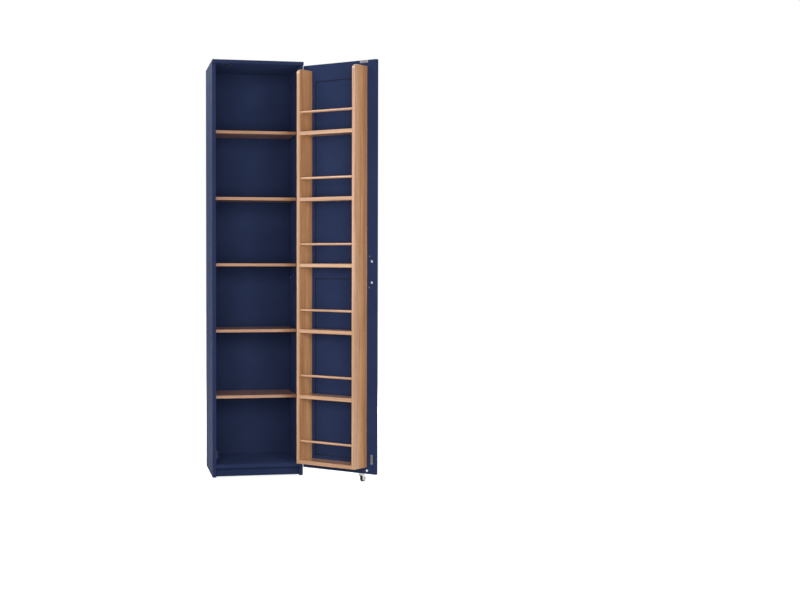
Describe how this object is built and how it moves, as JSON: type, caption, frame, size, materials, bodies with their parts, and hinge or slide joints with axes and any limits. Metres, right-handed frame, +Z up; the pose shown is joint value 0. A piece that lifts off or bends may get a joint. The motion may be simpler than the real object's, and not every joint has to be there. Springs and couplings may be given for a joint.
{
  "type": "tall kitchen cabinet",
  "caption": "Tall narrow kitchen cabinet with loose shelves, a framed door on butt hinges, a storage rack on the door's inner side and a caster under the door.",
  "frame": {"origin": "at floor level in the middle of the cabinet's back, on the rear face of the rear plinth", "axes": "+X to the right when facing the front, +Y from the front towards the wall, +Z up; the door stands open 133 degrees at rest"},
  "size_m": [0.7732, 0.7838, 2.06],
  "materials": {
    "navy_paint": "board with satin navy paint",
    "oak": "oak with a clear satin finish",
    "beech": "plain turned beech",
    "zinc": "bright zinc plate",
    "hinge_steel": "dark zinc-plated steel",
    "screw_steel": "zinc-plated steel",
    "dark_plastic": "moulded, fine grain",
    "magnet": "sintered magnet between steel plates",
    "strike_steel": "satin nickel plate",
    "gunmetal": "satin gunmetal",
    "white_rubber": "matt",
    "caster_grey": "moulded, light grey",
    "axle_steel": "zinc-plated steel",
    "caster_rubber": "matt"
  },
  "bodies": {
    "carcass": {"back_lower": "navy_paint", "back_upper": "navy_paint", "cam_bolts": "zinc", "cam_locks": "zinc", "carcass_dowels": "beech", "carcass_screws": "screw_steel", "catch_magnets": "magnet", "catches": "dark_plastic", "floor_panel": "navy_paint", "hinge_frame_leaves": "hinge_steel", "hinge_pins": "hinge_steel", "plinth_front": "navy_paint", "plinth_rear": "navy_paint", "rail_middle": "navy_paint", "rail_top": "navy_paint", "shelf_1": "oak", "shelf_2": "oak", "shelf_3": "oak", "shelf_4": "oak", "shelf_5": "oak", "shelf_pins": "zinc", "side_left_lower": "navy_paint", "side_left_upper": "navy_paint", "side_right_lower": "navy_paint", "side_right_upper": "navy_paint", "top_panel": "navy_paint"},
    "door": {"caster_plate": "caster_grey", "door_bumper": "white_rubber", "door_cam_bolts": "zinc", "door_cams": "zinc", "door_dowels": "beech", "door_lower_panel": "navy_paint", "door_lower_rail_bottom": "navy_paint", "door_lower_rail_top": "navy_paint", "door_lower_stile_free": "navy_paint", "door_lower_stile_hinge": "navy_paint", "door_screws": "screw_steel", "door_upper_panel": "navy_paint", "door_upper_rail_bottom": "navy_paint", "door_upper_rail_top": "navy_paint", "door_upper_stile_free": "navy_paint", "door_upper_stile_hinge": "navy_paint", "handle": "gunmetal", "handle_screws": "screw_steel", "hinge_door_leaves": "hinge_steel", "rack_dowels": "beech", "rack_rods": "oak", "rack_shelf_1": "oak", "rack_shelf_2": "oak", "rack_shelf_3": "oak", "rack_shelf_4": "oak", "rack_shelf_5": "oak", "rack_shelf_6": "oak", "rack_upright_free": "oak", "rack_upright_hinge": "oak", "strike_plates": "strike_steel"},
    "caster_swivel": {"caster_fork": "caster_grey", "caster_axle": "axle_steel"},
    "caster_wheel": {"caster_hub": "caster_grey", "caster_tyre": "caster_rubber"}
  },
  "joints": [
    {"name": "door_hinge", "type": "hinge", "parent": "carcass", "child": "door", "pos_m": [0.225, -0.4259, 1.022], "axis": [0, 0, 1], "range_deg": [-133, 47]},
    {"name": "caster_swivel", "type": "hinge", "parent": "door", "child": "caster_swivel", "pos_m": [0.47708, -0.6817, 0.038], "axis": [0, 0, 1], "continuous": true},
    {"name": "caster_roll", "type": "hinge", "parent": "caster_swivel", "child": "caster_wheel", "pos_m": [0.48439, -0.67488, 0.015], "axis": [0.682, -0.7314, 0], "continuous": true}
  ]
}
